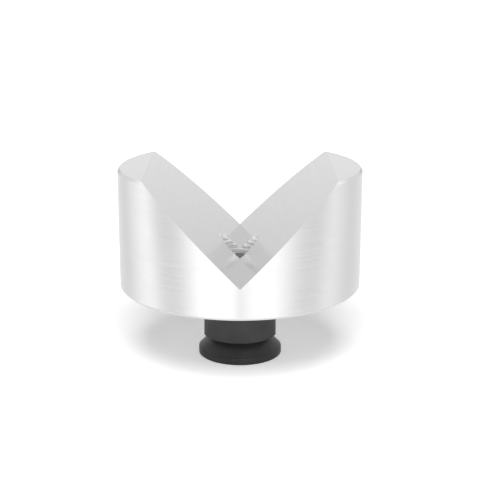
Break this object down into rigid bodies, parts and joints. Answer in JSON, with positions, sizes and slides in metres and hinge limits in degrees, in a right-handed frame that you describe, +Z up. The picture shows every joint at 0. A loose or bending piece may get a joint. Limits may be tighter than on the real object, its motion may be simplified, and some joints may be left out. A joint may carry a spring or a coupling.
{
  "type": "v block",
  "caption": "Round V block: a short turned cylinder with a right-angled groove across its top for tube or bar, on a screwed-in flanged spigot.",
  "frame": {"origin": "centre of the spigot's end face, which the part stands on", "axes": "+Z up along the turned axis, out of the groove's open side; the V groove runs along Y; the wrench flats face +X and -X"},
  "size_m": [0.08, 0.08, 0.0645],
  "materials": {
    "bright_aluminium": "fine turned and milled, satin",
    "black_steel": "turned, black oxide with a light oil"
  },
  "bodies": {
    "root": {"v_block": "bright_aluminium", "spigot": "black_steel"}
  },
  "joints": []
}
